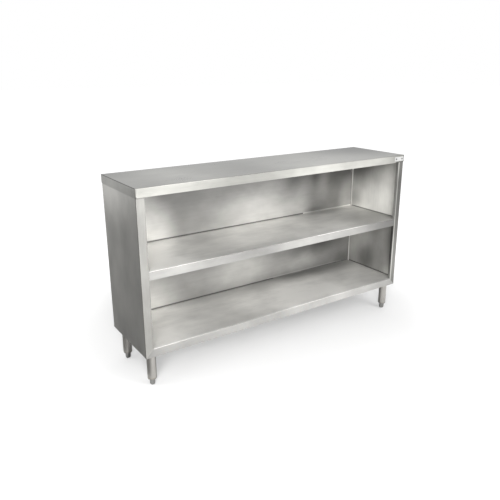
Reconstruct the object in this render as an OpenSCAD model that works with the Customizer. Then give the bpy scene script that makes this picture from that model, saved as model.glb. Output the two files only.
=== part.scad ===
// Open-front dish cabinet in folded stainless sheet, on four tubular legs with levelling feet.
// X runs to the right along the front, Y to the back, Z up from the floor.

/* [Overall] */
// Width over the turned-down ends of the top
top_w = 1524; // [900:1:2400]
// Depth over the turned-down front and back of the top
top_d = 381; // [320:1:600]
// Height of the top surface above the floor
top_h = 889; // [700:1:1100]
// Height of the body's underside above the floor
body_clear = 152.4; // [120:0.1:220]

/* [Top] */
// Thickness of the top's sheet
top_t = 1.5; // [1.2:0.1:2.2]
// Height of the top's turned-down edges
top_edge_h = 38.1; // [28:0.1:60]
// Outer bend radius between the top and its edges
top_bend_r = 3; // [2.6:0.1:6]
// Radius of the top's ground vertical corners
top_corner_r = 4.8; // [3.2:0.1:6]
// Radius to which the lower corners of the front edge are ground
top_nose_r = 7; // [2:0.1:12]
// How far the body stands back from the top's front and rear edges
body_recess = 3.2; // [2.8:0.1:12]
// Gap between the turned-down ends and the side panels
side_gap = 0.1; // [0:0.05:2]

/* [Panels and shelves] */
// Thickness of the panel and shelf sheet
panel_t = 1.2; // [0.9:0.1:1.8]
// Outer bend radius of the panels
panel_bend_r = 2.4; // [2.2:0.1:4]
// Outer bend radius along the edges of the shelves
shelf_bend_r = 3; // [2.2:0.1:5]
// Width of the stile faces at the front of the side panels
stile_w = 38.1; // [26:0.1:60]
// Depth of the return folded back from each stile
return_d = 12.7; // [8:0.1:20]
// Height of the front faces of both shelves
shelf_face_h = 38.1; // [30:0.1:60]
// Height of the side and rear rims under the shelves
shelf_rim_h = 25.4; // [12:0.1:28]
// Width of the welding flanges on the panels
flange_w = 12.7; // [8:0.1:16]
// Relief cut where two flanges meet in a corner
relief = 0.4; // [0.2:0.1:1.5]

/* [Channels] */
// Thickness of the channel sheet
channel_t = 1.5; // [1.2:0.1:2.2]
// Outer bend radius of the channels
channel_bend_r = 3; // [2.6:0.1:5]
// Width across the web of the stiffening channels
stiffener_w = 76.2; // [40:0.1:110]
// Depth of the stiffening channels
stiffener_h = 19; // [10:0.1:24]
// Width of the channels' weld flanges
stiffener_flange = 15; // [8:0.1:25]
// Space left between a stiffening channel and the flanges at its ends
stiffener_gap = 6; // [2:0.1:30]
// Width across the web of the leg channels
leg_channel_w = 50; // [48:0.1:54]
// Depth of the leg channels
leg_channel_h = 15.9; // [10:0.1:17]
// Width of the leg channels' weld flanges
leg_channel_flange = 10; // [6:0.1:12]

/* [Legs] */
// Outside diameter of the leg tubes
leg_d = 41.3; // [34:0.1:44]
// Wall of the leg tubes
leg_wall = 1.5; // [1.2:0.1:3]
// Space between a leg socket and the side panel's bottom flange
leg_gap = 2.3; // [1:0.1:30]
// Distance from the body's front to the front leg centres
leg_front = 42; // [40:0.1:80]
// Distance from the rear leg centres to the body's back
leg_rear = 51; // [45:0.1:90]
// Wall of the leg sockets
socket_wall = 3; // [2:0.1:4]
// Slip clearance around a tube in its socket
socket_slip = 0.15; // [0.1:0.05:0.4]
// How far the socket collar reaches down the tube
socket_reach = 16; // [12:0.1:17]
// Thickness of the socket plates
socket_plate_t = 3; // [2:0.1:4]
// Length of the socket plates from front to back
socket_plate_l = 66; // [56:0.1:72]
// Diameter of the set screws
screw_d = 6; // [4:0.1:8]
// Length of the set screws
screw_l = 9; // [6:0.1:12]

/* [Feet] */
// Radius of the round shoulder at the end of each insert
shoulder_r = 4.4; // [3.5:0.1:10]
// Length of the insert inside the tube
plug_l = 27; // [15:0.1:60]
// Clearance of the insert in the tube
plug_slip = 0.1; // [0.05:0.05:0.3]
// Diameter of the foot studs
stud_d = 12.7; // [8:0.1:14]
// Radial running clearance around a stud
stud_slip = 0.05; // [0.02:0.01:0.1]
// Length of the studs
stud_l = 56; // [44:0.1:80]
// How deep a stud sits in its foot
stud_seat = 12; // [6:0.1:15]
// Height of a foot
foot_h = 27.4; // [20:0.1:33]
// Diameter of a foot
foot_d = 25.4; // [22:0.1:30]
// Width across the flats of a foot's hexagon
foot_flats = 22.2; // [20:0.1:30]
// Height over which the foot's nose is round
nose_h = 10.8; // [4:0.1:13]
// Radius of the nose's profile
nose_r = 14; // [13:0.1:30]
// Thread travel left between the foot and the insert as photographed
foot_gap = 2.8; // [2.1:0.1:20]

/* [Badge] */
// Length of the blank badge plate
badge_w = 64; // [40:0.1:90]
// Height of the badge plate
badge_h = 22; // [15:0.1:26]
// Thickness of the badge plate
badge_t = 0.8; // [0.5:0.1:1.5]
// Corner radius of the badge plate
badge_r = 3; // [1:0.1:6]
// Distance from the end of the top to the badge plate
badge_end = 7; // [5.5:0.1:40]
// Distance from the plate's ends to its rivets
rivet_inset = 11; // [6:0.1:18]
// Diameter of the rivet heads
rivet_head_d = 5; // [4:0.1:8]
// Height of the rivet heads
rivet_head_h = 0.8; // [0.5:0.1:1.2]
// Diameter of the rivet shanks
rivet_d = 2.4; // [1.6:0.1:3.2]
// Clearance of a rivet shank in its holes
rivet_slip = 0.05; // [0.02:0.01:0.2]

/* [Hidden] */
$fn = 48;
over = 1; // how far a cutting solid runs past what it cuts
body_w = top_w - 2 * (top_t + side_gap);
body_d = top_d - 2 * body_recess;
body_top = top_h - top_t;
body_h = body_top - body_clear;
body_front = -body_d / 2;
body_back = body_d / 2;
inner_w = body_w - 2 * panel_t;
bottom_z = body_clear + shelf_face_h;
opening_h = top_h - top_edge_h - bottom_z;
middle_z = bottom_z + opening_h / 2 + shelf_face_h / 2;
shelf_d = body_d - panel_t;
edge_r = max(panel_bend_r, top_bend_r - top_t); // clears the bends inside the top
rear_notch_w = panel_bend_r + relief;
rear_notch_d = flange_w - panel_t + relief;

leg_r = leg_d / 2;
socket_r = leg_r + socket_slip + socket_wall;
leg_x = body_w / 2 - panel_t - flange_w - leg_gap - socket_r;
leg_y = [body_front + leg_front, body_back - leg_rear];
channel_z = bottom_z - panel_t - leg_channel_h;
tube_top = channel_z - socket_plate_t;
insert_z = foot_h + foot_gap;
tube_bottom = insert_z + shoulder_r;
screw_z = tube_top - socket_reach / 2;

// The badge and its rivets stand proud of the front edge, so everything moves back by half of that
proud = badge_t + rivet_head_h;
LEGS = [["front_left", -1, 0], ["front_right", 1, 0], ["rear_left", -1, 1], ["rear_right", 1, 1]];
LEG_PIECES = ["leg_socket", "set_screw", "leg_tube", "foot_insert", "foot_stud", "levelling_foot"];

// Rectangle centred on the origin with four round corners
module round_rect(w, d, r) {
  square([w - 2 * r, d], center = true);
  square([w, d - 2 * r], center = true);
  for (sx = [-1, 1], sy = [-1, 1]) translate([sx * (w / 2 - r), sy * (d / 2 - r)]) circle(r);
}

// Block from x=0 and y=0 with its two corners at y=0 round
module fold_block(w, d, r) {
  translate([0, r]) square([w, d - r]);
  translate([r, 0]) square([w - 2 * r, d]);
  for (x = [r, w - r]) translate([x, r]) circle(r);
}

// Sheet folded into a U whose base lies along y=0
module folded_u(w, d, t, r) {
  difference() {
    fold_block(w, d, r);
    translate([t, t]) fold_block(w - 2 * t, d, r - t);
  }
}

// Solid w by d by h, top face at z=0, with round edges along the top
module fold_top_block(w, d, h, r) {
  intersection() {
    translate([-w / 2, d / 2, 0]) rotate([90, 0, 0]) linear_extrude(d) mirror([0, 1]) fold_block(w, h, r);
    translate([-w / 2, -d / 2, 0]) rotate([90, 0, 90]) linear_extrude(w) mirror([0, 1]) fold_block(d, h, r);
  }
}

// Pan of sheet, top face at z=0, open below
module pan(w, d, h, t, r) {
  difference() {
    fold_top_block(w, d, h, r);
    translate([0, 0, -t]) fold_top_block(w - 2 * t, d - 2 * t, h, r - t);
  }
}

// Hat channel along X, its weld flanges against z=0 and its web below
module hat_channel(length, w, h, flange) {
  translate([-length / 2, 0, 0]) rotate([90, 0, 90]) linear_extrude(length) {
    translate([-w / 2, -h]) folded_u(w, h, channel_t, channel_bend_r);
    for (sx = [-1, 1]) translate([sx * (w + flange) / 2, -channel_t / 2]) square([flange, channel_t], center = true);
  }
}

// Cut that rounds a lower corner of the front edge, aimed out along the corner's diagonal
module nose_cut() {
  setback = top_corner_r * (sqrt(2) - 1);
  reach = top_nose_r + setback;
  difference() {
    translate([-reach, -reach * 2, -over]) cube([reach * 2, reach * 4, top_nose_r + over]);
    translate([-reach, -reach * 3, top_nose_r]) rotate([-90, 0, 0]) cylinder(r = top_nose_r, h = reach * 6);
  }
}

module top_deck() {
  color("gainsboro") difference() {
    translate([0, 0, top_h]) difference() {
      intersection() {
        fold_top_block(top_w, top_d, top_edge_h, top_bend_r);
        translate([0, 0, -top_edge_h]) linear_extrude(top_edge_h) round_rect(top_w, top_d, top_corner_r);
      }
      translate([0, 0, -top_t]) intersection() {
        fold_top_block(top_w - 2 * top_t, top_d - 2 * top_t, top_edge_h, top_bend_r - top_t);
        translate([0, 0, -top_edge_h]) linear_extrude(top_edge_h)
          round_rect(top_w - 2 * top_t, top_d - 2 * top_t, top_corner_r - top_t);
      }
    }
    for (sx = [-1, 1]) translate([sx * top_w / 2, -top_d / 2, top_h - top_edge_h])
      rotate([0, 0, sx > 0 ? -45 : -135]) nose_cut();
    at_rivets() rotate([-90, 0, 0]) cylinder(r = rivet_d / 2 + rivet_slip, h = top_t * 3, center = true);
  }
}

module top_channel() {
  color("silver") translate([0, 0, body_top])
    hat_channel(inner_w - 2 * (flange_w + stiffener_gap), stiffener_w, stiffener_h, stiffener_flange);
}

// Outline of the body, round along the edges that the bends inside the top come near
module body_outline() {
  translate([0, 0, body_clear + body_h / 2]) intersection() {
    linear_extrude(body_h, center = true) round_rect(body_w, body_d, panel_bend_r);
    rotate([90, 0, 0]) linear_extrude(body_d, center = true) round_rect(body_w, body_h, edge_r);
    translate([0, -body_d / 2, body_h / 2]) rotate([90, 0, 90]) linear_extrude(body_w, center = true)
      mirror([0, 1]) fold_block(body_d, body_h, edge_r);
  }
}

// Web, stile face and return in one fold, with welding flanges folded in at the top and bottom
module side_panel_folds() {
  slope = shelf_face_h / stile_w;
  difference() {
    linear_extrude(body_h) difference() {
      folded_u(stile_w, body_d, panel_t, panel_bend_r);
      translate([panel_t, return_d]) square([stile_w, body_d]);
    }
    // the foot of the stile is mitred to meet the bottom shelf's face
    translate([0, panel_t, 0]) rotate([90, 0, 0]) linear_extrude(panel_t + over)
      polygon([[panel_t, -over], [stile_w + over, -over], [stile_w + over, (stile_w + over) * slope],
               [panel_t, panel_t * slope]]);
    // behind its face the stile stands on the bottom shelf
    translate([panel_t, panel_t, -over]) cube([stile_w, return_d, shelf_face_h + over]);
  }
  translate([0, return_d + relief, 0]) rotate([0, -90, -90])
    linear_extrude(body_d - return_d - flange_w - 2 * relief)
      folded_u(body_h, flange_w + panel_t, panel_t, edge_r);
}

module left_side_panel() {
  color("silver") intersection() {
    translate([-body_w / 2, body_front, body_clear]) side_panel_folds();
    body_outline();
  }
}

module right_side_panel() mirror([1, 0, 0]) left_side_panel();

// Back panel with a welding flange folded forward along each of its four edges
module back_panel() {
  fold_w = inner_w - 2 * (panel_bend_r + relief);
  color("gainsboro") intersection() {
    translate([0, body_back, body_clear]) {
      rotate([0, 0, 180]) translate([-inner_w / 2, 0, 0]) linear_extrude(body_h)
        folded_u(inner_w, flange_w, panel_t, panel_bend_r);
      translate([-fold_w / 2, 0, 0]) rotate([0, -90, 180]) linear_extrude(fold_w)
        folded_u(body_h, flange_w, panel_t, edge_r);
    }
    body_outline();
  }
}

// Shelf pan between the side panels, with shallower side and rear rims and notched rear corners
module shelf_blank() {
  difference() {
    translate([0, body_front + shelf_d / 2, 0]) pan(inner_w, shelf_d, shelf_face_h, panel_t, shelf_bend_r);
    translate([-inner_w / 2 - over, body_front + panel_t, -shelf_face_h - over])
      cube([inner_w + 2 * over, shelf_d, shelf_face_h - shelf_rim_h + over]);
    for (sx = [-1, 1]) translate([sx * inner_w / 2, body_back - panel_t, 0])
      cube([2 * rear_notch_w, 2 * rear_notch_d, 2 * shelf_face_h + over], center = true);
  }
}

module middle_shelf() {
  notch_w = stile_w - panel_t;
  color("gainsboro") translate([0, 0, middle_z]) difference() {
    shelf_blank();
    // front corners are notched round the stiles, so the face butts between them
    for (sx = [-1, 1]) translate([sx * (inner_w / 2), body_front, 0])
      cube([2 * notch_w, 2 * (return_d + relief), 2 * shelf_face_h + over], center = true);
  }
}

module bottom_shelf() {
  slope = shelf_face_h / stile_w;
  color("gainsboro") translate([0, 0, bottom_z]) difference() {
    shelf_blank();
    // the ends of the face are mitred to meet the stiles
    for (side = [0, 1]) mirror([side, 0, 0])
      translate([-body_w / 2, body_front + panel_t, -shelf_face_h]) rotate([90, 0, 0])
        linear_extrude(panel_t + over)
          polygon([[0, 0], [stile_w, shelf_face_h], [stile_w, shelf_face_h + over], [-over, shelf_face_h + over],
                   [-over, 0]]);
  }
}

module middle_shelf_channel() {
  color("silver") translate([0, 0, middle_z - panel_t])
    hat_channel(inner_w - 2 * (flange_w + stiffener_gap), stiffener_w, stiffener_h, stiffener_flange);
}

module bottom_shelf_channel() {
  color("silver") translate([0, 0, bottom_z - panel_t])
    hat_channel(2 * leg_x - leg_channel_w - 2 * leg_channel_flange, stiffener_w, stiffener_h, stiffener_flange);
}

// Channel from front to back that carries a front and a rear leg
module leg_channel(side) {
  length = shelf_d - 2 * shelf_bend_r;
  color("silver") translate([side * leg_x, body_front + shelf_d / 2, bottom_z - panel_t]) rotate([0, 0, 90])
    hat_channel(length, leg_channel_w, leg_channel_h, leg_channel_flange);
}

module at_leg(leg) translate([leg[1] * leg_x, leg_y[leg[2]], 0]) children();

// Turns what points along +X at a leg towards the middle of the cabinet
module inward(leg) rotate([0, 0, leg[1] > 0 ? 180 : 0]) children();

module leg_socket(leg) {
  color("darkgray") at_leg(leg) difference() {
    union() {
      translate([0, 0, tube_top + socket_plate_t / 2])
        cube([leg_channel_w, socket_plate_l, socket_plate_t], center = true);
      translate([0, 0, tube_top - socket_reach]) cylinder(r = socket_r, h = socket_reach + socket_plate_t / 2);
    }
    translate([0, 0, tube_top - socket_reach - over]) cylinder(r = leg_r + socket_slip, h = socket_reach + over);
    translate([0, 0, screw_z]) inward(leg) rotate([0, 90, 0]) cylinder(d = screw_d, h = socket_r + over);
  }
}

module set_screw(leg) {
  key = screw_d / 2;
  color("dimgray") at_leg(leg) translate([0, 0, screw_z]) inward(leg) rotate([0, 90, 0]) difference() {
    translate([0, 0, leg_r + socket_slip]) cylinder(r = screw_d / 2 - stud_slip, h = screw_l);
    translate([0, 0, leg_r + socket_slip + screw_l / 2]) cylinder(d = key, h = screw_l, $fn = 6);
  }
}

module leg_tube(leg) {
  color("gainsboro") at_leg(leg) translate([0, 0, tube_bottom]) difference() {
    cylinder(r = leg_r, h = tube_top - tube_bottom);
    translate([0, 0, -over]) cylinder(r = leg_r - leg_wall, h = tube_top - tube_bottom + 2 * over);
  }
}

// Threaded insert: a round-shouldered cap under the tube with a plug inside it
module foot_insert(leg) {
  color("darkgray") at_leg(leg) translate([0, 0, insert_z]) difference() {
    rotate_extrude() {
      intersection() {
        union() {
          square([leg_r - shoulder_r, shoulder_r]);
          translate([leg_r - shoulder_r, shoulder_r]) circle(shoulder_r);
        }
        square([leg_r, shoulder_r]);
      }
      square([leg_r - leg_wall - plug_slip, shoulder_r + plug_l]);
    }
    translate([0, 0, -over]) cylinder(r = stud_d / 2 + stud_slip, h = shoulder_r + plug_l + 2 * over);
  }
}

module foot_stud(leg) {
  color("silver") at_leg(leg) translate([0, 0, foot_h - stud_seat]) cylinder(d = stud_d, h = stud_l);
}

// Bullet foot: hexagon prism turned to a round nose, with a blind hole for the stud
module levelling_foot(leg) {
  color("gray") at_leg(leg) difference() {
    intersection() {
      rotate_extrude() intersection() {
        union() {
          translate([foot_d / 2 - nose_r, nose_h]) circle(nose_r);
          translate([0, nose_h]) square([foot_d / 2, foot_h - nose_h]);
        }
        square([foot_d / 2, foot_h]);
      }
      cylinder(d = foot_flats / cos(30), h = foot_h, $fn = 6);
    }
    translate([0, 0, foot_h - stud_seat]) cylinder(r = stud_d / 2 + stud_slip, h = stud_seat + over);
  }
}

// Puts its children at the two rivet places, on the outside of the top's front edge
module at_rivets() {
  plate_x = top_w / 2 - badge_end - badge_w / 2;
  for (sx = [-1, 1])
    translate([plate_x + sx * (badge_w / 2 - rivet_inset), -top_d / 2, top_h - top_edge_h / 2]) children();
}

module badge_plate() {
  color("whitesmoke") difference() {
    translate([top_w / 2 - badge_end - badge_w / 2, -top_d / 2, top_h - top_edge_h / 2]) rotate([90, 0, 0])
      linear_extrude(badge_t) round_rect(badge_w, badge_h, badge_r);
    at_rivets() rotate([90, 0, 0]) cylinder(r = rivet_d / 2 + rivet_slip, h = badge_t * 3, center = true);
  }
}

// Rivets through the plate and the front edge, with a head at each side
module badge_rivets() {
  grip = badge_t + top_t;
  color("dimgray") at_rivets() translate([0, -badge_t, 0]) rotate([-90, 0, 0]) {
    cylinder(d = rivet_d, h = grip);
    for (z = [-rivet_head_h, grip]) translate([0, 0, z]) cylinder(d = rivet_head_d, h = rivet_head_h);
  }
}

// Everything stands back by half of what is proud of the front, so the box is centred on the origin
module placed() translate([0, proud / 2, 0]) children();

placed() top_deck();
placed() top_channel();
placed() left_side_panel();
placed() right_side_panel();
placed() back_panel();
placed() middle_shelf();
placed() middle_shelf_channel();
placed() bottom_shelf();
placed() bottom_shelf_channel();
placed() leg_channel(-1);  // left_leg_channel
placed() leg_channel(1);  // right_leg_channel
placed() badge_plate();
placed() badge_rivets();
for (leg = LEGS) {
  placed() leg_socket(leg);
  placed() set_screw(leg);
  placed() leg_tube(leg);
  placed() foot_insert(leg);
  placed() foot_stud(leg);
  placed() levelling_foot(leg);
}
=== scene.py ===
"""Finishes, small parts and studio of an open-front dish cabinet in brushed stainless sheet.

X runs to the right along the front, Y to the back, Z up from the floor. Sizes are in metres.
"""

import math

import bmesh
import bpy
from bpy.props import FloatProperty, FloatVectorProperty, IntProperty, PointerProperty
from mathutils import Matrix, Vector


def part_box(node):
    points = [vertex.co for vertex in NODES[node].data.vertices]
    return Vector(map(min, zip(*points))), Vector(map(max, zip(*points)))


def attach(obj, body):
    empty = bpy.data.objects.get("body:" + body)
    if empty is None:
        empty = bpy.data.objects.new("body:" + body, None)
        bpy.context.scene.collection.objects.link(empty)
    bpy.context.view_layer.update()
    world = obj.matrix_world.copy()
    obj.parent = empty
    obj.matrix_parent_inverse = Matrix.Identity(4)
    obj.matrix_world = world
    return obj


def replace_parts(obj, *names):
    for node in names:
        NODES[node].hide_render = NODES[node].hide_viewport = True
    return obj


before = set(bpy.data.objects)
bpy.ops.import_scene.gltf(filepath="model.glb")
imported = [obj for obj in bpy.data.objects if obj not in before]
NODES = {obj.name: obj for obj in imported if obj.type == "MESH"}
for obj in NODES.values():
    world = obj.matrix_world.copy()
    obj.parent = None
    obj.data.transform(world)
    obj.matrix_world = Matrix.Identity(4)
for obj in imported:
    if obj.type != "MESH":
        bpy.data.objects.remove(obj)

bl_info = {
    "name": "Dish Cabinet",
    "version": (1, 0, 0),
    "blender": (4, 5, 0),
    "location": "View3D > Sidebar > Cabinet",
    "description": "Brushed steel finishes, feet threads, rivets, welds and a studio for a dish cabinet",
    "category": "Object",
}

MILLIMETRE = 0.001
LEGS = ("front_left", "front_right", "rear_left", "rear_right")

# Gap between a leg tube and its socket, and the socket's wall
SOCKET_SLIP = 0.15 * MILLIMETRE
SOCKET_WALL = 3.0 * MILLIMETRE


class Link:
    """One output socket of a node tree. Arithmetic on it adds a Math node and gives that node's output."""

    def __init__(self, tree, socket):
        self.tree = tree
        self.socket = socket

    def _math(self, operation, *values):
        return self.tree.node("ShaderNodeMath", {"operation": operation}, dict(enumerate(values)))

    def __add__(self, other):
        return self._math("ADD", self, other)

    def __sub__(self, other):
        return self._math("SUBTRACT", self, other)

    def __rsub__(self, other):
        return self._math("SUBTRACT", other, self)

    def __mul__(self, other):
        return self._math("MULTIPLY", self, other)

    def __pow__(self, other):
        return self._math("POWER", self, other)

    def __abs__(self):
        return self._math("ABSOLUTE", self)

    __radd__ = __add__
    __rmul__ = __mul__

    def most(self, other):
        return self._math("MAXIMUM", self, other)

    def least(self, other):
        return self._math("MINIMUM", self, other)

    def above(self, other):
        return self._math("GREATER_THAN", self, other)


class Tree:
    """A node tree that is being built, for a material, the world or a piece of geometry."""

    def __init__(self, tree):
        self.tree = tree
        self.tree.nodes.clear()

    def node(self, kind, settings=None, sockets=None, output=0):
        """Adds a node: first its settings, then the values or links of its sockets. Gives one output."""
        made = self.tree.nodes.new(kind)
        for name, value in (settings or {}).items():
            setattr(made, name, value)
        for name, value in (sockets or {}).items():
            if isinstance(value, Link):
                self.tree.links.new(value.socket, made.inputs[name])
            else:
                made.inputs[name].default_value = value
        return Link(self, made.outputs[output]) if made.outputs else None

    def vector(self, operation, *values):
        """Vector Math. A length and a dot product are numbers, the rest are vectors."""
        output = "Value" if operation in ("LENGTH", "DOT_PRODUCT") else "Vector"
        return self.node("ShaderNodeVectorMath", {"operation": operation}, dict(enumerate(values)), output)

    def parts(self, vector):
        """The X, Y and Z of a vector."""
        split = self.node("ShaderNodeSeparateXYZ", None, {"Vector": vector})
        return [Link(self, socket) for socket in split.socket.node.outputs]

    def ramp(self, value, low, high, start=0.0, end=1.0):
        """start below low, end above high and a smooth passage between them."""
        return self.node("ShaderNodeMapRange", {"interpolation_type": "SMOOTHSTEP"},
                         {"Value": value, "From Min": low, "From Max": high, "To Min": start, "To Max": end})

    def blend(self, factor, first, second):
        """The colour that is first where the factor is 0 and second where it is 1."""
        # A Mix node's inputs 6 and 7 and its output 2 are those for colours. The others share their names.
        return self.node("ShaderNodeMix", {"data_type": "RGBA"}, {0: factor, 6: first, 7: second}, output=2)


class Finish(Tree):
    """A metal finish: its node tree, its place on the piece and its shader."""

    def __init__(self, name, roughness, metallic=1.0):
        self.material = bpy.data.materials.new(name)
        self.material.use_nodes = True
        super().__init__(self.material.node_tree)
        self.place = self.node("ShaderNodeTexCoord", output="Object")
        steel = self.node("ShaderNodeBsdfPrincipled", None, {"Metallic": metallic, "Roughness": roughness})
        self.shader = steel.socket.node
        self.node("ShaderNodeOutputMaterial", None, {"Surface": steel})

    def noise(self, rates, detail, rough=0.5, output=0):
        """Cloudy noise from 0 to 1, with about so many blotches to a metre along each axis."""
        place = self.vector("MULTIPLY", self.place, rates)
        return self.node("ShaderNodeTexNoise", None,
                         {"Vector": place, "Scale": 1.0, "Detail": detail, "Roughness": rough}, output)

    def feed(self, name, link):
        """Links one socket of the shader."""
        self.tree.links.new(link.socket, self.shader.inputs[name])

    def relief(self, height, depth):
        """Bumps of a given depth in metres from a height between 0 and 1."""
        self.feed("Normal", self.node("ShaderNodeBump", None, {"Height": height, "Distance": depth}))


def shade(colour, factor):
    """A colour made lighter or darker, with full alpha."""
    return (*(min(1.0, part * factor) for part in colour[:3]), 1.0)


# How closely marks lie along X, Y and Z on sheet that is brushed along X or along Z
GRAINS = {"X": (1.0, 60.0, 60.0), "Z": (60.0, 60.0, 1.0)}

# Blotches to a metre of the streaks, of the clouds and of the noise that the patches' outlines wander by
STREAK_RATE = 1.6
CLOUD_RATE = 5.0
WANDER_RATE = 5.0

# The clouds are stretched by this power of what the scratches are
CLOUD_STRETCH = 0.12

# How much less metallic the inner faces of the side panels are
INNER_DULLING = 0.55

# Normals of the faces that zones and lines lie on
FACINGS = {
    "top": (0.0, 0.0, 1.0),
    "front": (0.0, -1.0, 0.0),
    "left": (-1.0, 0.0, 0.0),
    "right": (1.0, 0.0, 0.0),
}

# Shares of a patch's half sizes: its change of tone is whole up to the first, and gone beyond the second
PATCH_CORE = 0.15
PATCH_RIM = 1.25

# Each sheet's zones of painted light and shade: the way the zone faces, its lowest and highest height,
# its tone beside the sheet's, which paints the face lighter or darker as light falls on it, and its soft
# patches of painted reflection, highlight and shade. A patch is its place along and across the zone, its half
# sizes and its change of tone.
PAINTED_LIGHT_ZONES = {
    "top_deck": (
        ("top", 0.0, 1.0, 0.53, (
            (-0.5, -0.1, 0.16, 0.35, 0.17),
            (-0.16, 0.0, 0.14, 0.25, -0.1),
            (0.25, -0.15, 0.35, 0.3, 0.22),
            (0.78, 0.18, 0.46, 0.34, -0.4),
            (-0.78, 0.2, 0.18, 0.2, -0.18),
        )),
        ("front", 0.0, 1.0, 1.12, (
            (-0.25, 0.87, 0.25, 0.1, -0.38),
            (0.36, 0.87, 0.3, 0.1, 0.17),
            (0.8, 0.87, 0.2, 0.1, -0.43),
        )),
        ("left", 0.0, 1.0, 0.53, ()),
    ),
    "left_side_panel": (
        ("left", 0.0, 1.0, 0.68, (
            (0.15, 0.5, 0.2, 0.6, 0.15),
            (0.0, 0.8, 0.25, 0.12, 0.15),
            (-0.05, 0.16, 0.2, 0.14, -0.12),
        )),
        ("front", 0.0, 1.0, 0.63, (
            (-0.74, 0.86, 0.05, 0.12, 0.17),
            (-0.74, 0.14, 0.05, 0.12, 0.06),
        )),
    ),
    "right_side_panel": (
        ("left", 0.52, 1.0, 1.6, (
            (0.13, 0.86, 0.28, 0.3, -1.38),
            (-0.12, 0.86, 0.15, 0.1, -0.5),
            (-0.2, 0.7, 0.1, 0.4, -0.6),
            (0.04, 0.6, 0.16, 0.16, 0.3),
            (0.16, 0.57, 0.08, 0.08, -0.6),
        )),
        ("left", 0.0, 0.52, 0.5, (
            (0.13, 0.36, 0.12, 0.2, 0.26),
            (0.05, 0.43, 0.08, 0.1, 0.12),
            (-0.16, 0.18, 0.08, 0.08, 0.42),
            (-0.18, 0.42, 0.08, 0.16, -0.28),
            (0.04, 0.25, 0.09, 0.1, -0.23),
        )),
        ("right", 0.0, 1.0, 0.7, ()),
        ("front", 0.0, 1.0, 0.25, (
            (0.74, 0.3, 0.05, 0.22, 0.18),
            (0.74, 0.86, 0.05, 0.1, 0.125),
        )),
    ),
    "back_panel": (
        ("front", 0.52, 1.0, 0.47, (
            (-0.62, 0.57, 0.2, 0.19, 1.15),
            (-0.58, 0.8, 0.1, 0.1, 0.3),
            (-0.4, 0.75, 0.25, 0.14, -0.16),
            (-0.26, 0.53, 0.14, 0.05, 0.1),
            (0.1, 0.56, 0.3, 0.18, 0.53),
            (0.36, 0.58, 0.09, 0.15, 0.3),
            (0.32, 0.79, 0.14, 0.07, -0.16),
            (0.31, 0.7, 0.1, 0.07, -0.16),
            (0.48, 0.76, 0.045, 0.09, -0.12),
            (0.53, 0.71, 0.05, 0.14, 0.1),
            (0.62, 0.66, 0.07, 0.1, -0.08),
            (0.47, 0.55, 0.08, 0.02, -0.15),
            (0.58, 0.78, 0.35, 0.12, -0.2),
            (0.74, 0.58, 0.08, 0.13, 0.5),
        )),
        ("front", 0.0, 0.52, 0.48, (
            (-0.62, 0.2, 0.22, 0.17, 0.78),
            (-0.03, 0.27, 0.22, 0.12, 0.27),
            (0.47, 0.38, 0.26, 0.1, -0.3),
            (-0.35, 0.38, 0.2, 0.08, -0.08),
            (0.36, 0.235, 0.2, 0.07, 0.24),
            (0.72, 0.21, 0.08, 0.06, -0.14),
        )),
    ),
    "middle_shelf": (
        ("top", 0.0, 1.0, 1.06, (
            (-0.75, 0.0, 0.28, 0.5, 0.45),
            (-0.32, 0.0, 0.13, 0.4, -0.16),
            (-0.1, -0.2, 0.3, 0.09, -0.25),
            (0.28, -0.1, 0.25, 0.15, 0.2),
            (0.52, 0.17, 0.24, 0.08, -0.42),
            (0.7, -0.15, 0.3, 0.25, -0.55),
            (0.73, 0.17, 0.06, 0.06, 0.3),
        )),
        ("front", 0.0, 1.0, 0.44, (
            (-0.18, 0.52, 0.2, 0.1, -0.07),
            (0.15, 0.52, 0.25, 0.1, 0.08),
            (0.75, 0.52, 0.28, 0.1, -0.27),
        )),
    ),
    "bottom_shelf": (
        ("top", 0.0, 1.0, 0.98, (
            (-0.72, 0.0, 0.27, 0.5, 0.4),
            (-0.3, -0.05, 0.15, 0.3, -0.12),
            (-0.25, -0.19, 0.3, 0.08, -0.15),
            (0.2, -0.06, 0.34, 0.2, 0.45),
            (0.0, 0.2, 0.45, 0.13, -0.43),
            (0.49, 0.18, 0.4, 0.12, -0.62),
            (0.72, -0.19, 0.2, 0.1, -0.25),
            (0.74, -0.02, 0.06, 0.12, 0.2),
        )),
        ("front", 0.0, 1.0, 0.44, (
            (0.3, 0.17, 0.36, 0.1, 0.14),
            (-0.78, 0.17, 0.1, 0.1, -0.09),
            (0.78, 0.17, 0.08, 0.1, -0.09),
        )),
    ),
}
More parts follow.
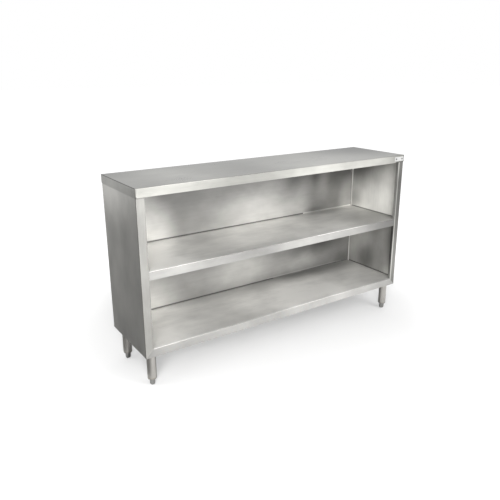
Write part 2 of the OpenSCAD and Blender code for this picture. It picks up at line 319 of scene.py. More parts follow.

# Narrow lines of painted shade and painted highlight along bends, joints and edges: the way the face
# looks, the line's middle, half lengths, softness and change of tone
PAINTED_LIGHT_LINES = {
    "top_deck": (
        ("top", (-0.762, 0.0008, 0.889), (0.0005, 0.19, 0.0005), 0.004, -0.6),
        ("top", (0.762, 0.0008, 0.889), (0.0005, 0.19, 0.0005), 0.004, -0.6),
        ("front", (0.7588, -0.1897, 0.868), (0.003, 0.002, 0.016), 0.003, -0.7),
        ("front", (0.73, -0.1897, 0.8525), (0.03, 0.002, 0.0025), 0.003, -0.6),
    ),
    "left_side_panel": (
        ("left", (-0.7604, -0.1865, 0.5), (0.0004, 0.0004, 0.36), 0.0035, -0.6),
        ("front", (-0.7413, -0.1865, 0.8505), (0.019, 0.001, 0.002), 0.005, -0.3),
        ("left", (-0.7592, 0.0, 0.8505), (0.002, 0.19, 0.0015), 0.003, -0.2),
    ),
    "right_side_panel": (
        ("left", (0.7225, -0.1785, 0.5), (0.003, 0.0085, 0.36), 0.002, -0.6),
        ("front", (0.7295, -0.187, 0.5), (0.0022, 0.0008, 0.36), 0.003, 1.5),
        ("front", (0.7604, -0.1865, 0.5), (0.0004, 0.0004, 0.36), 0.0035, -0.4),
        ("left", (0.7592, 0.0, 0.541), (0.001, 0.19, 0.0015), 0.0035, -0.75),
        ("left", (0.7592, 0.0, 0.192), (0.001, 0.19, 0.0015), 0.0035, -0.7),
    ),
    "back_panel": (
        ("front", (-0.2, 0.1869, 0.5425), (0.585, 0.001, 0.0015), 0.003, -0.7),
        ("front", (0.575, 0.1869, 0.5425), (0.185, 0.001, 0.0015), 0.003, 0.8),
        ("front", (-0.3, 0.1869, 0.1933), (0.48, 0.001, 0.0015), 0.003, -0.7),
        ("front", (0.42, 0.1869, 0.1933), (0.24, 0.001, 0.001), 0.003, -0.35),
        ("front", (0.42, 0.1869, 0.1985), (0.28, 0.001, 0.001), 0.003, 0.3),
        ("front", (0.7565, 0.186, 0.5), (0.0008, 0.001, 0.36), 0.003, -0.5),
        ("left", (0.758, 0.1835, 0.5), (0.0006, 0.001, 0.36), 0.0015, 1.3),
    ),
    "middle_shelf": (
        ("top", (0.0, -0.1865, 0.5397), (0.73, 0.0016, 0.001), 0.003, 0.25),
        ("front", (0.0, -0.1865, 0.5397), (0.73, 0.001, 0.0006), 0.003, 0.15),
        ("top", (0.45, -0.1865, 0.5397), (0.27, 0.0016, 0.001), 0.003, 0.45),
        ("front", (0.45, -0.1865, 0.5397), (0.27, 0.001, 0.0006), 0.003, 0.6),
        ("top", (-0.2, 0.1869, 0.5397), (0.55, 0.0012, 0.001), 0.003, -0.6),
    ),
    "bottom_shelf": (
        ("top", (0.0, -0.1865, 0.1905), (0.75, 0.0016, 0.001), 0.003, 0.15),
        ("front", (0.0, -0.1865, 0.1905), (0.75, 0.001, 0.0006), 0.003, 0.1),
        ("top", (-0.3, 0.1869, 0.1905), (0.48, 0.0012, 0.001), 0.003, -0.6),
    ),
}


def facing_mask(finish, facing):
    """1 on the faces that look one way, 0 on the others."""
    normal = finish.node("ShaderNodeNewGeometry", output="True Normal")
    return finish.vector("DOT_PRODUCT", normal, FACINGS[facing]).above(0.5)


def painted_line_level(finish, line):
    """Change of tone of one narrow line: painted shade where it is below 0, painted highlight above."""
    facing, centre, half, soft, change = line
    away = finish.vector("ABSOLUTE", finish.vector("SUBTRACT", finish.place, centre))
    beyond = finish.vector("MAXIMUM", finish.vector("SUBTRACT", away, half), (0.0, 0.0, 0.0))
    reach = finish.vector("LENGTH", beyond)
    return finish.ramp(reach, 0.0, soft, change, 0.0) * facing_mask(finish, facing)


def painted_zone_level(finish, spot, zone):
    """A zone's mask, and its painted light and shade there: its tone with its patches."""
    facing, low, high, base, patches = zone
    x, y, z = finish.parts(spot)
    along, across = {"top": (x, y), "front": (x, z)}.get(facing, (y, z))
    flat = finish.node("ShaderNodeCombineXYZ", None, {"X": along, "Y": across})
    level = base
    # Each patch paints light where its change is above 0 and shade where it is below.
    for centre_along, centre_across, half_along, half_across, change in patches:
        away = finish.vector("SUBTRACT", flat, (centre_along, centre_across, 0.0))
        away = finish.vector("MULTIPLY", away, (1 / half_along, 1 / half_across, 0.0))
        level = finish.ramp(finish.vector("LENGTH", away), PATCH_CORE, PATCH_RIM, change, 0.0) + level
    height = finish.parts(finish.place)[2]
    return facing_mask(finish, facing) * height.above(low) * (1 - height.above(high)), level


def brushed_sheet(node, tone, along, roughness, metallic, inward=None):
    """Brushed stainless sheet: scratches along one axis, cloudy marks, painted light and shade in zones and
    lines.

    inward is 1 or -1 for a side panel, whose faces towards +X or -X are less metallic.
    """
    steel = bpy.context.scene.cabinet_steel
    finish = Finish(node + "_sheet", roughness, metallic)
    stretch = GRAINS[along]
    grain = finish.noise([part * steel.grain_rate for part in stretch], 3.0, 0.6)
    streaks = finish.noise([part * STREAK_RATE for part in stretch], 2.0)
    clouds = finish.noise([part ** CLOUD_STRETCH * CLOUD_RATE for part in stretch], 3.0, 0.55)
    drift = finish.noise((WANDER_RATE,) * 3, 2.0, output="Color")
    drift = finish.vector("SUBTRACT", drift, (0.5, 0.5, 0.5))
    spot = finish.vector("ADD", finish.place, finish.vector("MULTIPLY", drift, (steel.wander,) * 3))
    level = 1.0
    # The zones and lines paint light and shade into the colour: lighter and darker faces, painted
    # reflections, painted highlights along bends and painted shade along joints.
    for zone in PAINTED_LIGHT_ZONES[node]:
        mask, inside = painted_zone_level(finish, spot, zone)
        level = mask * (inside - 1.0) + level
    for line in PAINTED_LIGHT_LINES[node]:
        level = level * (painted_line_level(finish, line) + 1.0)
    level = level * ((grain - 0.5) * steel.grain_contrast + (streaks - 0.5) * steel.streak_contrast
                     + (clouds - 0.5) * steel.cloud_contrast + 1.0)
    level = level.least(1 / max(tone))
    # The blend's factor ends at 1, so it carries half the level and the colour is doubled.
    double_tone = (*(part * 2 for part in tone), 1.0)
    finish.feed("Base Color", finish.blend(level * 0.5, (0.0, 0.0, 0.0, 1.0), double_tone))
    finish.feed("Roughness", (clouds - 0.5) * 0.1 + (grain - 0.5) * 0.08 + roughness)
    if inward:
        normal = finish.node("ShaderNodeNewGeometry", output="True Normal")
        inner = finish.parts(normal)[0] * inward
        finish.feed("Metallic", finish.ramp(inner, 0.4, 0.6, metallic, metallic - INNER_DULLING))
    finish.relief(grain + streaks * 0.2, steel.grain_depth)
    return finish.material


# Crystals of the zinc coating to a metre
CRYSTAL_RATE = 90.0

# Heights above a leg tube's lower end where the heat tint ends, and between which the dark seam fades
HEAT_REACH = 9.0 * MILLIMETRE
SEAM_START = 0.4 * MILLIMETRE
SEAM_END = 1.6 * MILLIMETRE

# Distance of the plate's pressed line from its outline, and the distances from the line's middle between
# which it fades
LINE_INSET = 1.8 * MILLIMETRE
LINE_CORE = 0.15 * MILLIMETRE
LINE_RIM = 0.5 * MILLIMETRE

# How many rivet radii the painted shade round a rivet reaches from its middle
RIVET_SHADE_REACH = 2.6


def coated_sheet(name, tone):
    """Zinc-coated sheet with the faint crystals of the coating."""
    finish = Finish(name, 0.45)
    cells = finish.node("ShaderNodeTexVoronoi", {"feature": "F1"},
                        {"Vector": finish.place, "Scale": CRYSTAL_RATE, "Randomness": 1.0}, output="Color")
    facet = finish.node("ShaderNodeSeparateColor", None, {"Color": cells})
    clouds = finish.noise((7.0,) * 3, 3.0)
    finish.feed("Base Color", finish.blend(facet * 0.5 + clouds * 0.5, shade(tone, 0.82), shade(tone, 1.18)))
    finish.feed("Roughness", facet * 0.14 + clouds * 0.1 + 0.34)
    finish.relief(facet, 0.05 * MILLIMETRE)
    return finish.material


def turned_metal(name, tone, roughness, rings=1500.0):
    """Metal turned on a lathe: fine rings up the piece, with lighter and darker patches."""
    finish = Finish(name, roughness)
    ring = finish.noise((8.0, 8.0, rings), 2.0, 0.7)
    patches = finish.noise((70.0,) * 3, 3.0, 0.6)
    marks = (ring - 0.5) * 0.5 + patches
    finish.feed("Base Color", finish.blend(marks, shade(tone, 0.75), shade(tone, 1.25)))
    finish.feed("Roughness", (patches - 0.5) * 0.25 + (ring - 0.5) * 0.1 + roughness)
    finish.relief(ring, 0.03 * MILLIMETRE)
    return finish.material


def tube_steel(name, tone, tint):
    """Polished leg tube: rings of the belt, a dark seam at its lower end and a straw heat tint above it."""
    finish = Finish(name, 0.4)
    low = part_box("front_left_leg_tube")[0].z
    height = finish.parts(finish.place)[2]
    ring = finish.noise((10.0, 10.0, 1400.0), 3.0, 0.7)
    patches = finish.noise((30.0, 30.0, 18.0), 3.0, 0.6)
    steel = finish.blend((ring - 0.5) * 0.4 + patches, shade(tone, 0.84), shade(tone, 1.16))
    heat = finish.ramp(height, low, low + HEAT_REACH, 0.55, 0.0) * finish.ramp(patches, 0.35, 0.7)
    warm = finish.blend(heat, steel, (*tint, 1.0))
    seam = finish.ramp(height, low + SEAM_START, low + SEAM_END, 0.6, 0.0)
    finish.feed("Base Color", finish.blend(seam, warm, (0.06, 0.055, 0.05, 1.0)))
    finish.feed("Roughness", (patches - 0.5) * 0.16 + 0.4)
    finish.relief(ring, 0.03 * MILLIMETRE)
    return finish.material


def dark_screw(name, tone):
    """Blackened steel, worn brighter in patches."""
    finish = Finish(name, 0.5)
    worn = finish.noise((350.0,) * 3, 3.0, 0.6)
    bare_steel = (0.42, 0.41, 0.4, 1.0)
    finish.feed("Base Color", finish.blend(finish.ramp(worn, 0.5, 0.75), shade(tone, 1.0), bare_steel))
    finish.feed("Roughness", worn * 0.3 + 0.35)
    finish.relief(worn, 0.04 * MILLIMETRE)
    return finish.material


def plate_metal(name, tone):
    """Satin plate with a pressed line just inside its outline and painted shade round its rivets."""
    finish = Finish(name, 0.42, 0.6)
    low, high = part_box("badge_plate")
    centre, half = (low + high) / 2, (high - low) / 2
    x, _, z = finish.parts(finish.place)
    inset = (half.x - abs(x - centre.x)).least(half.z - abs(z - centre.z))
    line = finish.ramp(abs(inset - LINE_INSET), LINE_CORE, LINE_RIM, 1.0, 0.0)
    left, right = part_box("badge_rivets")
    middle = (left + right) / 2
    reach, rivet = (right.x - left.x) / 2, (right.z - left.z) / 2
    beside = abs(abs(x - middle.x) - (reach - rivet))
    away = (beside ** 2.0 + (z - middle.z) ** 2.0) ** 0.5
    # A dark ring round each rivet is painted shade.
    rivet_shade = finish.ramp(away, rivet, rivet * RIVET_SHADE_REACH, 0.95, 0.0)
    grain = finish.noise((40.0, 2000.0, 2000.0), 2.0, 0.7)
    clean = finish.blend((grain - 0.5) * 0.3 + 0.4 - line * 0.4, shade(tone, 0.8), shade(tone, 1.15))
    finish.feed("Base Color", finish.blend(rivet_shade, clean, (0.05, 0.05, 0.05, 1.0)))
    finish.feed("Roughness", (grain - 0.5) * 0.2 + 0.42)
    finish.relief(grain * 0.1 - line, 0.1 * MILLIMETRE)
    return finish.material


def weld_metal(name, tone, tint):
    """Weld beads, grey with a straw heat tint in patches."""
    finish = Finish(name, 0.38)
    mottled = finish.noise((120.0,) * 3, 4.0, 0.6)
    base = finish.blend(mottled, shade(tone, 0.7), shade(tone, 1.2))
    finish.feed("Base Color", finish.blend(finish.ramp(mottled, 0.5, 0.75), base, (*tint, 1.0)))
    finish.feed("Roughness", mottled * 0.3 + 0.2)
    finish.relief(mottled, 0.06 * MILLIMETRE)
    return finish.material


class CabinetSteelSettings(bpy.types.PropertyGroup):
    """Tones and brushing of the sheet metal."""

    top_tone: FloatVectorProperty(
        name="Top", description="Colour of the top's sheet", subtype="COLOR",
        default=(0.5, 0.497, 0.466), min=0.0, max=1.0)
    side_tone: FloatVectorProperty(
        name="Sides", description="Colour of the side panels", subtype="COLOR",
        default=(0.5, 0.494, 0.468), min=0.0, max=1.0)
    back_tone: FloatVectorProperty(
        name="Back", description="Colour of the back panel", subtype="COLOR",
        default=(0.54, 0.533, 0.51), min=0.0, max=1.0)
    shelf_tone: FloatVectorProperty(
        name="Shelves", description="Colour of the shelves", subtype="COLOR",
        default=(0.76, 0.75, 0.722), min=0.0, max=1.0)
    channel_tone: FloatVectorProperty(
        name="Channels", description="Colour of the coated channels", subtype="COLOR",
        default=(0.52, 0.53, 0.54), min=0.0, max=1.0)
    grain_rate: FloatProperty(
        name="Grain rate", description="How closely the brush scratches lie together",
        default=14.0, min=2.0, max=60.0)
    grain_contrast: FloatProperty(
        name="Grain contrast", description="Difference in tone between scratches",
        default=0.22, min=0.0, max=2.0)
    streak_contrast: FloatProperty(
        name="Streak contrast", description="Difference in tone between wide streaks",
        default=0.1, min=0.0, max=2.0)
    cloud_contrast: FloatProperty(
        name="Cloud contrast", description="Difference in tone between cloudy patches",
        default=0.75, min=0.0, max=2.0)
    wander: FloatProperty(
        name="Wander", description="How far the outlines of patches wander", subtype="DISTANCE",
        unit="LENGTH", default=0.05, min=0.0, max=0.5)
    grain_depth: FloatProperty(
        name="Grain depth", description="Depth of the brush scratches", subtype="DISTANCE",
        unit="LENGTH", default=0.00006, min=0.0, max=0.001, precision=6)


class CabinetFootSettings(bpy.types.PropertyGroup):
    """Thread of the levelling feet and tones of the leg's small parts."""

    pitch: FloatProperty(
        name="Pitch", description="Distance between neighbouring thread crests", subtype="DISTANCE",
        unit="LENGTH", default=0.0254 / 13, min=0.0005, max=0.005, precision=6)
    depth: FloatProperty(
        name="Thread depth", description="Depth from crest to root", subtype="DISTANCE",
        unit="LENGTH", default=0.0011, min=0.0002, max=0.002, precision=5)
    sides: IntProperty(
        name="Sides", description="Corners in one turn of the thread", default=28, min=8, max=96)
    tube_tone: FloatVectorProperty(
        name="Tubes", description="Colour of the leg tubes", subtype="COLOR",
        default=(0.44, 0.427, 0.403), min=0.0, max=1.0)
    foot_tone: FloatVectorProperty(
        name="Feet", description="Colour of the feet", subtype="COLOR",
        default=(0.28, 0.28, 0.27), min=0.0, max=1.0)
    heat_tint: FloatVectorProperty(
        name="Heat tint", description="Straw colour that welding leaves", subtype="COLOR",
        default=(0.42, 0.36, 0.26), min=0.0, max=1.0)


class CabinetTrimSettings(bpy.types.PropertyGroup):
    """Rivets and welds."""

    head_rise: FloatProperty(
        name="Head rise", description="Height of a rivet's domed head", subtype="DISTANCE",
        unit="LENGTH", default=0.0008, min=0.0002, max=0.0012, precision=5)
    bead_radius: FloatProperty(
        name="Bead radius", description="Radius of a weld bead", subtype="DISTANCE",
        unit="LENGTH", default=0.0016, min=0.0004, max=0.004, precision=5)
    bead_step: FloatProperty(
        name="Bead step", description="Distance between ripples of a weld", subtype="DISTANCE",
        unit="LENGTH", default=0.0013, min=0.0003, max=0.004, precision=5)


class CabinetStudioSettings(bpy.types.PropertyGroup):
    """Camera, floor, cards and lamps."""

    eye: FloatVectorProperty(
        name="Eye", description="Where the camera stands", subtype="XYZ", unit="LENGTH",
        default=(-1.5389, -2.13435, 1.32276))
    azimuth: FloatProperty(
        name="Azimuth", description="Turn of the camera about the cabinet", subtype="ANGLE",
        unit="ROTATION", default=math.radians(-33.951))
    elevation: FloatProperty(
        name="Elevation", description="How far the camera looks down", subtype="ANGLE",
        unit="ROTATION", default=math.radians(17.309))
    roll: FloatProperty(
        name="Roll", description="Tilt of the picture", subtype="ANGLE",
        unit="ROTATION", default=math.radians(-0.192))
    lens: FloatProperty(
        name="Lens", description="Focal length in millimetres", default=39.198, min=10, max=200)
    sensor: FloatProperty(
        name="Sensor", description="Width of the sensor in millimetres", default=36.0, min=10, max=100)
    shift: FloatVectorProperty(
        name="Shift", description="Shift of the picture to the right and up, in picture widths", size=2,
        default=(-0.0002, -0.0211))
    floor_tone: FloatProperty(
        name="Floor", description="Lightness of the floor", default=0.78, min=0.0, max=1.0)
    near_lift: FloatProperty(
        name="Near lift", description="Light that the camera sees added to the floor under the cabinet",
        default=0.0, min=0.0, max=1.0)
    far_lift: FloatProperty(
        name="Far lift", description="Light that the camera sees added to the floor round the cabinet",
        default=0.5, min=0.0, max=1.0)
    # The cards' tones are painted reflections: darker surroundings for the left side, and shade under the
    # cabinet for the legs.
    left_card_tone: FloatProperty(
        name="Left card", description="Lightness of the card that the left side mirrors",
        default=0.3, min=0.0, max=1.0)
    front_card_tone: FloatProperty(
        name="Front card",
        description="Lightness of the card that the left side mirrors when seen from behind",
        default=0.62, min=0.0, max=1.0)
    under_card_tone: FloatProperty(
        name="Under card", description="Lightness of the card that the legs mirror",
        default=0.2, min=0.0, max=1.0)
    surround: FloatProperty(
        name="Surround", description="Light from all round", default=0.72, min=0.0, max=3.0)
    key: FloatProperty(
        name="Key lamp", description="Power of the large lamp over the floor at the front right",
        subtype="POWER", unit="POWER", default=55.0, min=0.0)
    fill: FloatProperty(
        name="Fill lamp", description="Power of the large lamp high at the left",
        subtype="POWER", unit="POWER", default=20.0, min=0.0)
    wash: FloatProperty(
        name="Wash lamp", description="Power of the large lamp at the left front",
        subtype="POWER", unit="POWER", default=180.0, min=0.0)


def finish_nodes(ending, material):
    """Gives a material to every node with that name or ending."""
    for name, node in NODES.items():
        if name == ending or name.endswith("_" + ending):
            node.data.materials.clear()
            node.data.materials.append(material)


class CABINET_OT_sheet_metal(bpy.types.Operator):
    """Finish the top, panels, shelves and channels"""

    bl_idname = "cabinet.sheet_metal"
    bl_label = "Finish Sheet Metal"

    def execute(self, context):
        steel = context.scene.cabinet_steel
        # Node, colour, axis of the scratches, roughness, share of metal and the way its inner faces look
        sheets = (
            ("top_deck", steel.top_tone, "X", 0.3, 1.0, None),
            ("left_side_panel", steel.side_tone, "Z", 0.34, 0.9, 1.0),
            ("right_side_panel", steel.side_tone, "Z", 0.34, 0.9, -1.0),
            ("back_panel", steel.back_tone, "X", 0.36, 0.5, None),
            ("middle_shelf", steel.shelf_tone, "X", 0.36, 0.5, None),
            ("bottom_shelf", steel.shelf_tone, "X", 0.36, 0.5, None),
        )
        for sheet in sheets:
            finish_nodes(sheet[0], brushed_sheet(*sheet))
        finish_nodes("channel", coated_sheet("coated_channel", steel.channel_tone))
        return {"FINISHED"}


class CABINET_OT_legs(bpy.types.Operator):
    """Finish the leg tubes, sockets, set screws, inserts and feet"""

    bl_idname = "cabinet.legs"
    bl_label = "Finish Legs"

    def execute(self, context):
        foot = context.scene.cabinet_foot
        finish_nodes("leg_tube", tube_steel("leg_tube_steel", foot.tube_tone, foot.heat_tint))
        finish_nodes("leg_socket", turned_metal("socket_steel", (0.42, 0.42, 0.42), 0.42))
        finish_nodes("foot_insert", turned_metal("insert_steel", (0.34, 0.33, 0.31), 0.36))
        finish_nodes("levelling_foot", turned_metal("foot_steel", foot.foot_tone, 0.36))
        finish_nodes("set_screw", dark_screw("screw_steel", (0.16, 0.16, 0.17)))
        return {"FINISHED"}


# Shares of half a pitch, from the middle of the crest, where its flat ends and where the root's flat starts
CREST_END = 0.15
ROOT_START = 0.75

# Corners of a thread that lie nearer to each other than this are merged
MERGE_DISTANCE = 1e-7


def thread_radius(share, crest, depth):
    """Radius at a share of the pitch, 0 and 1 being the crest's middle: flat crest, flank, flat root."""
    away = min(share, 1 - share) * 2
    return crest - depth * min(1.0, max(0.0, (away - CREST_END) / (ROOT_START - CREST_END)))


def threaded_rod(name, low, high, foot):
    """Closed mesh of a right-hand thread between two heights, with its ends run out to the root."""
    crest = (high.x - low.x) / 2
    root = crest - foot.depth
    centre = (low + high) / 2
    rows = (0.0, CREST_END / 2, ROOT_START / 2, 1 - ROOT_START / 2, 1 - CREST_END / 2)
    turns = math.ceil((high.z - low.z) / foot.pitch) + 1
    mesh = bmesh.new()
    grid = []
    for turn in range(-1, turns):
        for share in rows:
            ring = []
            for corner in range(foot.sides):
                climb = turn + share + corner / foot.sides
                z = min(high.z, max(low.z, low.z + climb * foot.pitch))
                run_out = min(1.0, (z - low.z) / foot.pitch, (high.z - z) / foot.pitch)
                radius = root + (thread_radius(share, crest, foot.depth) - root) * run_out
                angle = math.tau * corner / foot.sides
                ring.append(mesh.verts.new((centre.x + radius * math.cos(angle),
                                            centre.y + radius * math.sin(angle), z)))
            grid.append(ring)
    for row in range(len(grid) - 1):
        for corner in range(foot.sides):
            # A turn's last corner meets the first corner of the next turn.
            last = corner + 1 == foot.sides
            beyond, up = (0, len(rows)) if last else (corner + 1, 0)
            if row + 1 + up < len(grid):
                mesh.faces.new((grid[row][corner], grid[row + up][beyond], grid[row + 1 + up][beyond],
                                grid[row + 1][corner]))
    bmesh.ops.remove_doubles(mesh, verts=mesh.verts, dist=MERGE_DISTANCE)
    bmesh.ops.dissolve_degenerate(mesh, dist=MERGE_DISTANCE, edges=mesh.edges)
    loose = [vert for vert in mesh.verts if not vert.link_faces]
    bmesh.ops.delete(mesh, geom=loose, context="VERTS")
    bmesh.ops.holes_fill(mesh, edges=mesh.edges, sides=0)
    bmesh.ops.recalc_face_normals(mesh, faces=mesh.faces)
    data = bpy.data.meshes.new(name)
    mesh.to_mesh(data)
    mesh.free()
    return data


def linked(name, data):
    """New object in the scene for a mesh, a lamp or the camera."""
    made = bpy.data.objects.new(name, data)
    bpy.context.scene.collection.objects.link(made)
    return made


def add_piece(data, body):
    """Puts a finished mesh into the scene as a piece that rides on a body."""
    piece = linked(data.name, data)
    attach(piece, body)
    return piece


class CABINET_OT_studs(bpy.types.Operator):
    """Cut the threads of the four foot studs"""

    bl_idname = "cabinet.studs"
    bl_label = "Thread Studs"

    def execute(self, context):
        foot = context.scene.cabinet_foot
        steel = turned_metal("stud_steel", (0.26, 0.26, 0.25), 0.3)
        for leg in LEGS:
            node = f"{leg}_foot_stud"
            data = threaded_rod(f"{leg}_thread", *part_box(node), foot)
            data.materials.append(steel)
            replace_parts(add_piece(data, f"{leg}_stud"), node)
        return {"FINISHED"}


def grown(name, tree_name, inputs, build):
    """Plain mesh of a Geometry Nodes tree, with the named inputs set."""
    group = bpy.data.node_groups.new(tree_name, "GeometryNodeTree")
    group.interface.new_socket("Geometry", in_out="OUTPUT", socket_type="NodeSocketGeometry")
    sockets = {}
    for label, (kind, _) in inputs.items():
        sockets[label] = group.interface.new_socket(label, in_out="INPUT", socket_type=kind)
    tree = Tree(group)
    entry = group.nodes.new("NodeGroupInput")
    build(tree, {label: Link(tree, entry.outputs[label]) for label in inputs})
    carrier = linked(name + "_carrier", bpy.data.meshes.new(name + "_carrier"))
    modifier = carrier.modifiers.new("Build", "NODES")
    modifier.node_group = group
    for label, (_, value) in inputs.items():
        modifier[sockets[label].identifier] = value
    graph = bpy.context.evaluated_depsgraph_get()
    data = bpy.data.meshes.new_from_object(carrier.evaluated_get(graph), depsgraph=graph)
    data.name = name
    data.materials.clear()
    data.materials.append(inputs["Material"][1])
    data.polygons.foreach_set("material_index", [0] * len(data.polygons))
    carrier.modifiers.remove(modifier)
    bpy.data.objects.remove(carrier)
    return data


def finish_tree(tree, instances, material):
    """Ends a tree with real geometry, smooth shading and a material."""
    real = tree.node("GeometryNodeRealizeInstances", None, {"Geometry": instances})
    smooth = tree.node("GeometryNodeSetShadeSmooth", None, {"Geometry": real})
    dressed = tree.node("GeometryNodeSetMaterial", None, {"Geometry": smooth, "Material": material})
    tree.node("NodeGroupOutput", None, {0: dressed})


def build_rivets(tree, given):
    """Domed blind rivets on a line: a head at each side of the sheet and a shank between them."""
    head = tree.node("GeometryNodeMeshUVSphere", None,
                     {"Segments": 24, "Rings": 14, "Radius": given["Head Radius"]}, "Mesh")
    front = tree.node("GeometryNodeTransform", None, {"Geometry": head, "Scale": given["Head Shape"]})
    back = tree.node("GeometryNodeTransform", None,
                     {"Geometry": head, "Scale": given["Head Shape"], "Translation": given["Grip"]})
    shank = tree.node("GeometryNodeMeshCylinder", None,
                      {"Vertices": 20, "Radius": given["Shank Radius"],
                       "Depth": given["Shank Length"]}, "Mesh")
    turned = tree.node("GeometryNodeTransform", None,
                       {"Geometry": shank, "Translation": given["Shank Middle"],
                        "Rotation": (math.pi / 2, 0.0, 0.0)})
    rivet = tree.node("GeometryNodeJoinGeometry")
    for part in (front, back, turned):
        tree.tree.links.new(part.socket, rivet.socket.node.inputs[0])
    line = tree.node("GeometryNodeMeshLine", None,
                     {"Count": given["Count"], "Start Location": given["Start"], "Offset": given["Step"]})
    placed = tree.node("GeometryNodeInstanceOnPoints", None, {"Points": line, "Instance": rivet})
    finish_tree(tree, placed, given["Material"])


def build_weld(tree, given):
    """Rippled bead round a circle: flattened beads that overlap along it."""
    ring = tree.node("GeometryNodeCurvePrimitiveCircle", None,
                     {"Resolution": 96, "Radius": given["Ring Radius"]})
    points = tree.node("GeometryNodeResampleCurve", None, {"Curve": ring, "Count": given["Ripples"]})
    ripple = tree.node("GeometryNodeMeshUVSphere", None,
                       {"Segments": 10, "Rings": 6, "Radius": given["Bead Radius"]}, "Mesh")
    placed = tree.node("GeometryNodeInstanceOnPoints", None,
                       {"Points": points, "Instance": ripple, "Scale": given["Bead Shape"]})
    lifted = tree.node("GeometryNodeTransform", None, {"Geometry": placed, "Translation": given["Centre"]})
    finish_tree(tree, lifted, given["Material"])


class CABINET_OT_welds(bpy.types.Operator):
    """Lay the weld beads between the leg sockets' collars and plates"""

    bl_idname = "cabinet.welds"
    bl_label = "Lay Welds"

    def execute(self, context):
        trim = context.scene.cabinet_trim
        weld = weld_metal("weld_bead", (0.4, 0.39, 0.38), (0.4, 0.33, 0.22))
        for leg in LEGS:
            low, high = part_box(f"{leg}_leg_tube")
            centre = (low + high) / 2
            radius = (high.x - low.x) / 2 + SOCKET_SLIP + SOCKET_WALL
            data = grown(f"{leg}_weld", f"{leg} weld", {
                "Material": ("NodeSocketMaterial", weld),
                "Ring Radius": ("NodeSocketFloat", radius),
                "Ripples": ("NodeSocketInt", round(math.tau * radius / trim.bead_step)),
                "Bead Radius": ("NodeSocketFloat", trim.bead_radius),
                "Bead Shape": ("NodeSocketVector", (1.0, 1.0, 0.8)),
                "Centre": ("NodeSocketVector", (centre.x, centre.y, high.z)),
            }, build_weld)
            add_piece(data, "cabinet")
        return {"FINISHED"}


# Radius of a rivet's shank beside its head's
SHANK_SHARE = 0.48


class CABINET_OT_rivets(bpy.types.Operator):
    """Set the two domed rivets of the plate at the right end of the front edge"""

    bl_idname = "cabinet.rivets"
    bl_label = "Set Rivets"

    def execute(self, context):
        rise = context.scene.cabinet_trim.head_rise
        low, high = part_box("badge_rivets")
        plate_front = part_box("badge_plate")[0].y
        radius = (high.z - low.z) / 2
        grip = (high.y - rise) - plate_front
        rivets = grown("plate_rivets", "Rivets", {
            "Material": ("NodeSocketMaterial", turned_metal("rivet_metal", (0.08, 0.08, 0.08), 0.6, 600.0)),
            "Head Radius": ("NodeSocketFloat", radius),
            "Head Shape": ("NodeSocketVector", (1.0, rise / radius, 1.0)),
            "Grip": ("NodeSocketVector", (0.0, grip, 0.0)),
            "Shank Radius": ("NodeSocketFloat", radius * SHANK_SHARE),
            "Shank Length": ("NodeSocketFloat", grip),
            "Shank Middle": ("NodeSocketVector", (0.0, grip / 2, 0.0)),
            "Count": ("NodeSocketInt", 2),
            "Start": ("NodeSocketVector", (low.x + radius, plate_front, (low.z + high.z) / 2)),
            "Step": ("NodeSocketVector", (high.x - low.x - 2 * radius, 0.0, 0.0)),
        }, build_rivets)
        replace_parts(add_piece(rivets, "cabinet"), "badge_rivets")
        finish_nodes("badge_plate", plate_metal("plate_satin", (0.6, 0.6, 0.59)))
        return {"FINISHED"}


# The floor's half width and its thickness
FLOOR_REACH = 40.0
FLOOR_DEPTH = 0.05

# Distances from the cabinet's middle between which the floor's added light goes from near_lift to far_lift
# With less lift near the cabinet the floor there stays darker: painted shade round the cabinet.
LIFT_START = 0.7
LIFT_END = 1.6

# Nearest and farthest that the camera sees
CLIP_RANGE = (0.05, 100.0)

# Each lamp's place, the point that it looks at, its width and height, and whether the metal mirrors it. Its
# power is the setting that has its name.
LAMPS = {
    "key": ((1.1, -2.9, 2.4), (1.3, -2.4, 0.0), (2.4, 1.8), True),
    "fill": ((-2.6, 0.6, 3.2), (-0.9, 0.0, 0.0), (1.6, 1.6), True),
    "wash": ((-2.2, -3.0, 1.5), (0.3, 0.0, 0.45), (1.8, 1.2), False),
}

# Each card's lowest X and Y and its highest. Its lightness is the setting that has its name and _tone.
# The cards glow and only the metal's gloss sees them: painted reflections of darker surroundings, the under
# card one of the shade under the cabinet, which the legs mirror.
CARDS = {
    "left_card": ((-3.4, -0.25), (-0.8, 3.4)),
    "front_card": ((-5.0, -6.0), (-0.8, -0.25)),
    "under_card": ((-0.74, -0.14), (0.74, 0.6)),
}


def box_mesh(name, low, high):
    """Closed box between two corners."""
    mesh = bmesh.new()
    bmesh.ops.create_cube(mesh, size=1.0)
    low, high = Vector(low), Vector(high)
    bmesh.ops.scale(mesh, verts=mesh.verts, vec=high - low)
    bmesh.ops.translate(mesh, verts=mesh.verts, vec=(low + high) / 2)
    data = bpy.data.meshes.new(name)
    mesh.to_mesh(data)
    mesh.free()
    return data


def stage_material(name, data):
    """Gives a stage mesh a new material and starts the material's tree."""
    material = bpy.data.materials.new(name)
    material.use_nodes = True
    data.materials.append(material)
    return Tree(material.node_tree)


def seen_white(tree):
    """1 for rays that come straight from the camera, from gloss or through glass, 0 for all others."""
    camera = tree.node("ShaderNodeLightPath", output="Is Camera Ray")
    gloss = tree.node("ShaderNodeLightPath", output="Is Glossy Ray")
    return camera.most(gloss).most(tree.node("ShaderNodeLightPath", output="Is Transmission Ray"))


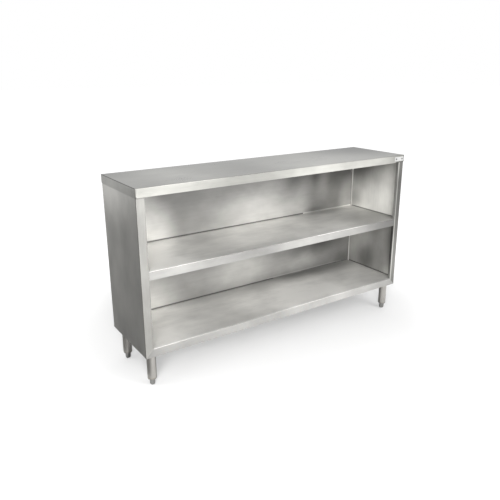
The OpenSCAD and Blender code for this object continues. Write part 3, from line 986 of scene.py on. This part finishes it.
def studio_floor(studio):
    """Pale floor that keeps shadows, and looks white to the camera and the metal away from the cabinet."""
    data = box_mesh("floor", (-FLOOR_REACH, -FLOOR_REACH, -FLOOR_DEPTH), (FLOOR_REACH, FLOOR_REACH, 0.0))
    floor = linked("floor", data)
    tree = stage_material("floor_paper", data)
    paper = tree.node("ShaderNodeBsdfDiffuse", None, {"Color": (*(studio.floor_tone,) * 3, 1.0)})
    radius = tree.vector("LENGTH", tree.node("ShaderNodeTexCoord", output="Object"))
    # Less lift near the cabinet keeps the floor there darker: painted shade on top of its real shadow.
    level = tree.ramp(radius, LIFT_START, LIFT_END, studio.near_lift, studio.far_lift)
    strength = seen_white(tree) * level
    lift = tree.node("ShaderNodeEmission", None, {"Color": (1, 1, 1, 1), "Strength": strength})
    both = tree.node("ShaderNodeAddShader", None, {0: paper, 1: lift})
    tree.node("ShaderNodeOutputMaterial", None, {"Surface": both})


def studio_card(name, low, high, tone):
    """Glowing grey card a millimetre above the floor that only the metal's gloss sees: a painted reflection,
    like a flag.
    """
    data = bpy.data.meshes.new(name)
    corners = (low, (high[0], low[1]), high, (low[0], high[1]))
    data.from_pydata([(x, y, MILLIMETRE) for x, y in corners], [], [(0, 1, 2, 3)])
    card = linked(name, data)
    for ray in ("camera", "diffuse", "shadow", "transmission"):
        setattr(card, "visible_" + ray, False)
    tree = stage_material(name, data)
    glow = tree.node("ShaderNodeEmission", None, {"Color": (*(tone,) * 3, 1.0), "Strength": 1.0})
    tree.node("ShaderNodeOutputMaterial", None, {"Surface": glow})


def studio_world(studio):
    """White where the camera, the metal or glass see it, and even soft light from all round."""
    world = bpy.data.worlds.new("surround")
    world.use_nodes = True
    tree = Tree(world.node_tree)
    seen = seen_white(tree)
    strength = seen + (1 - seen) * studio.surround
    sky = tree.node("ShaderNodeBackground", None, {"Color": (1, 1, 1, 1), "Strength": strength})
    tree.node("ShaderNodeOutputWorld", None, {"Surface": sky})
    bpy.context.scene.world = world


def soft_lamp(name, place, target, size, mirrored, power):
    """Large rectangular lamp that looks at a point. The metal sees it if it is mirrored, the camera never."""
    lamp = bpy.data.lights.new(name, "AREA")
    lamp.shape = "RECTANGLE"
    lamp.size, lamp.size_y = size
    lamp.energy = power
    holder = linked(name, lamp)
    holder.location = place
    holder.rotation_euler = (Vector(target) - Vector(place)).to_track_quat("-Z", "Y").to_euler()
    holder.visible_camera = False
    holder.visible_glossy = mirrored


def studio_camera(studio):
    """Camera at the photograph's place, which the scene looks through."""
    camera = bpy.data.cameras.new("camera")
    camera.lens = studio.lens
    camera.sensor_width = studio.sensor
    camera.shift_x, camera.shift_y = studio.shift
    camera.clip_start, camera.clip_end = CLIP_RANGE
    holder = linked("camera", camera)
    holder.location = studio.eye
    turn = Matrix.Rotation(studio.azimuth, 3, "Z")
    tilt = Matrix.Rotation(math.pi / 2 - studio.elevation, 3, "X")
    holder.rotation_euler = (turn @ tilt @ Matrix.Rotation(studio.roll, 3, "Z")).to_euler()
    bpy.context.scene.camera = holder


class CABINET_OT_studio(bpy.types.Operator):
    """Build the floor, the surround, the lamps, the cards and the camera"""

    bl_idname = "cabinet.studio"
    bl_label = "Build Studio"

    def execute(self, context):
        studio = context.scene.cabinet_studio
        studio_floor(studio)
        studio_world(studio)
        for name, lamp in LAMPS.items():
            soft_lamp(name, *lamp, getattr(studio, name))
        for name, (low, high) in CARDS.items():
            studio_card(name, low, high, getattr(studio, name + "_tone"))
        studio_camera(studio)
        context.scene.view_settings.view_transform = "Standard"
        return {"FINISHED"}


STEPS = (CABINET_OT_sheet_metal, CABINET_OT_legs, CABINET_OT_studs, CABINET_OT_welds, CABINET_OT_rivets,
         CABINET_OT_studio)


class CABINET_PT_sidebar(bpy.types.Panel):
    """Lists the steps in the sidebar"""

    bl_idname = "CABINET_PT_sidebar"
    bl_label = "Dish Cabinet"
    bl_space_type = "VIEW_3D"
    bl_region_type = "UI"
    bl_category = "Cabinet"

    def draw(self, context):
        for step in STEPS:
            self.layout.operator(step.bl_idname)


SETTINGS = {
    "cabinet_steel": CabinetSteelSettings,
    "cabinet_foot": CabinetFootSettings,
    "cabinet_trim": CabinetTrimSettings,
    "cabinet_studio": CabinetStudioSettings,
}


def register():
    for kind in (*SETTINGS.values(), *STEPS, CABINET_PT_sidebar):
        bpy.utils.register_class(kind)
    for name, kind in SETTINGS.items():
        setattr(bpy.types.Scene, name, PointerProperty(type=kind))


def unregister():
    for name in SETTINGS:
        delattr(bpy.types.Scene, name)
    for kind in (CABINET_PT_sidebar, *reversed(STEPS), *SETTINGS.values()):
        bpy.utils.unregister_class(kind)


def main():
    register()
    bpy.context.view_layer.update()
    bpy.ops.cabinet.sheet_metal()
    bpy.ops.cabinet.legs()
    bpy.ops.cabinet.studs()
    bpy.ops.cabinet.welds()
    bpy.ops.cabinet.rivets()
    bpy.ops.cabinet.studio()


if __name__ == "__main__":
    main()
